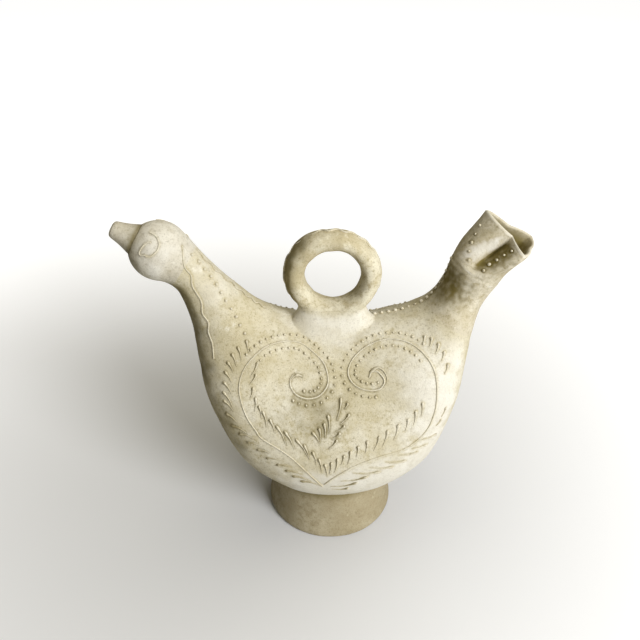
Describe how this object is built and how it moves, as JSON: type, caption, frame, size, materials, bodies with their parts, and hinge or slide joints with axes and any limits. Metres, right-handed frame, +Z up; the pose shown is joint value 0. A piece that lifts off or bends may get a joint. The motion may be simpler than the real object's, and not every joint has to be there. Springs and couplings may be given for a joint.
{
  "type": "hen-shaped clay pitcher",
  "caption": "Unglazed clay water jug shaped like a hen, filled through its pinched tail, poured from its beak and carried by the ring on its back, with slip-trailed scrolls.",
  "frame": {"origin": "middle of the length and the depth, on the plane the foot stands on", "axes": "+X from the beak to the tail, -Y out of the decorated front, +Z up"},
  "size_m": [0.2974, 0.132, 0.267],
  "materials": {
    "body_clay": "matt unglazed",
    "foot_clay": "matt unglazed",
    "neck_clay": "matt unglazed",
    "head_clay": "matt unglazed",
    "beak_clay": "matt unglazed",
    "tail_clay": "matt unglazed",
    "mouth_clay": "matt unglazed",
    "handle_clay": "matt unglazed",
    "saddle_clay": "matt unglazed",
    "trailed_slip": "matt unglazed"
  },
  "bodies": {
    "root": {"belly_bowl": "body_clay", "pedestal_foot": "foot_clay", "neck_tube": "neck_clay", "head_shell": "head_clay", "beak_spout": "beak_clay", "tail_tube": "tail_clay", "pinched_mouth": "mouth_clay", "handle_ring": "handle_clay", "handle_saddle": "saddle_clay", "back_dome": "body_clay", "front_left_scroll": "trailed_slip", "rear_left_scroll": "trailed_slip", "front_right_scroll": "trailed_slip", "rear_right_scroll": "trailed_slip", "front_neck_trail": "trailed_slip", "rear_neck_trail": "trailed_slip", "crest_neck_trail": "trailed_slip", "handle_crown_trail": "trailed_slip", "front_eye_brow": "trailed_slip", "rear_eye_brow": "trailed_slip", "front_eye_lid": "trailed_slip", "rear_eye_lid": "trailed_slip"}
  },
  "joints": []
}
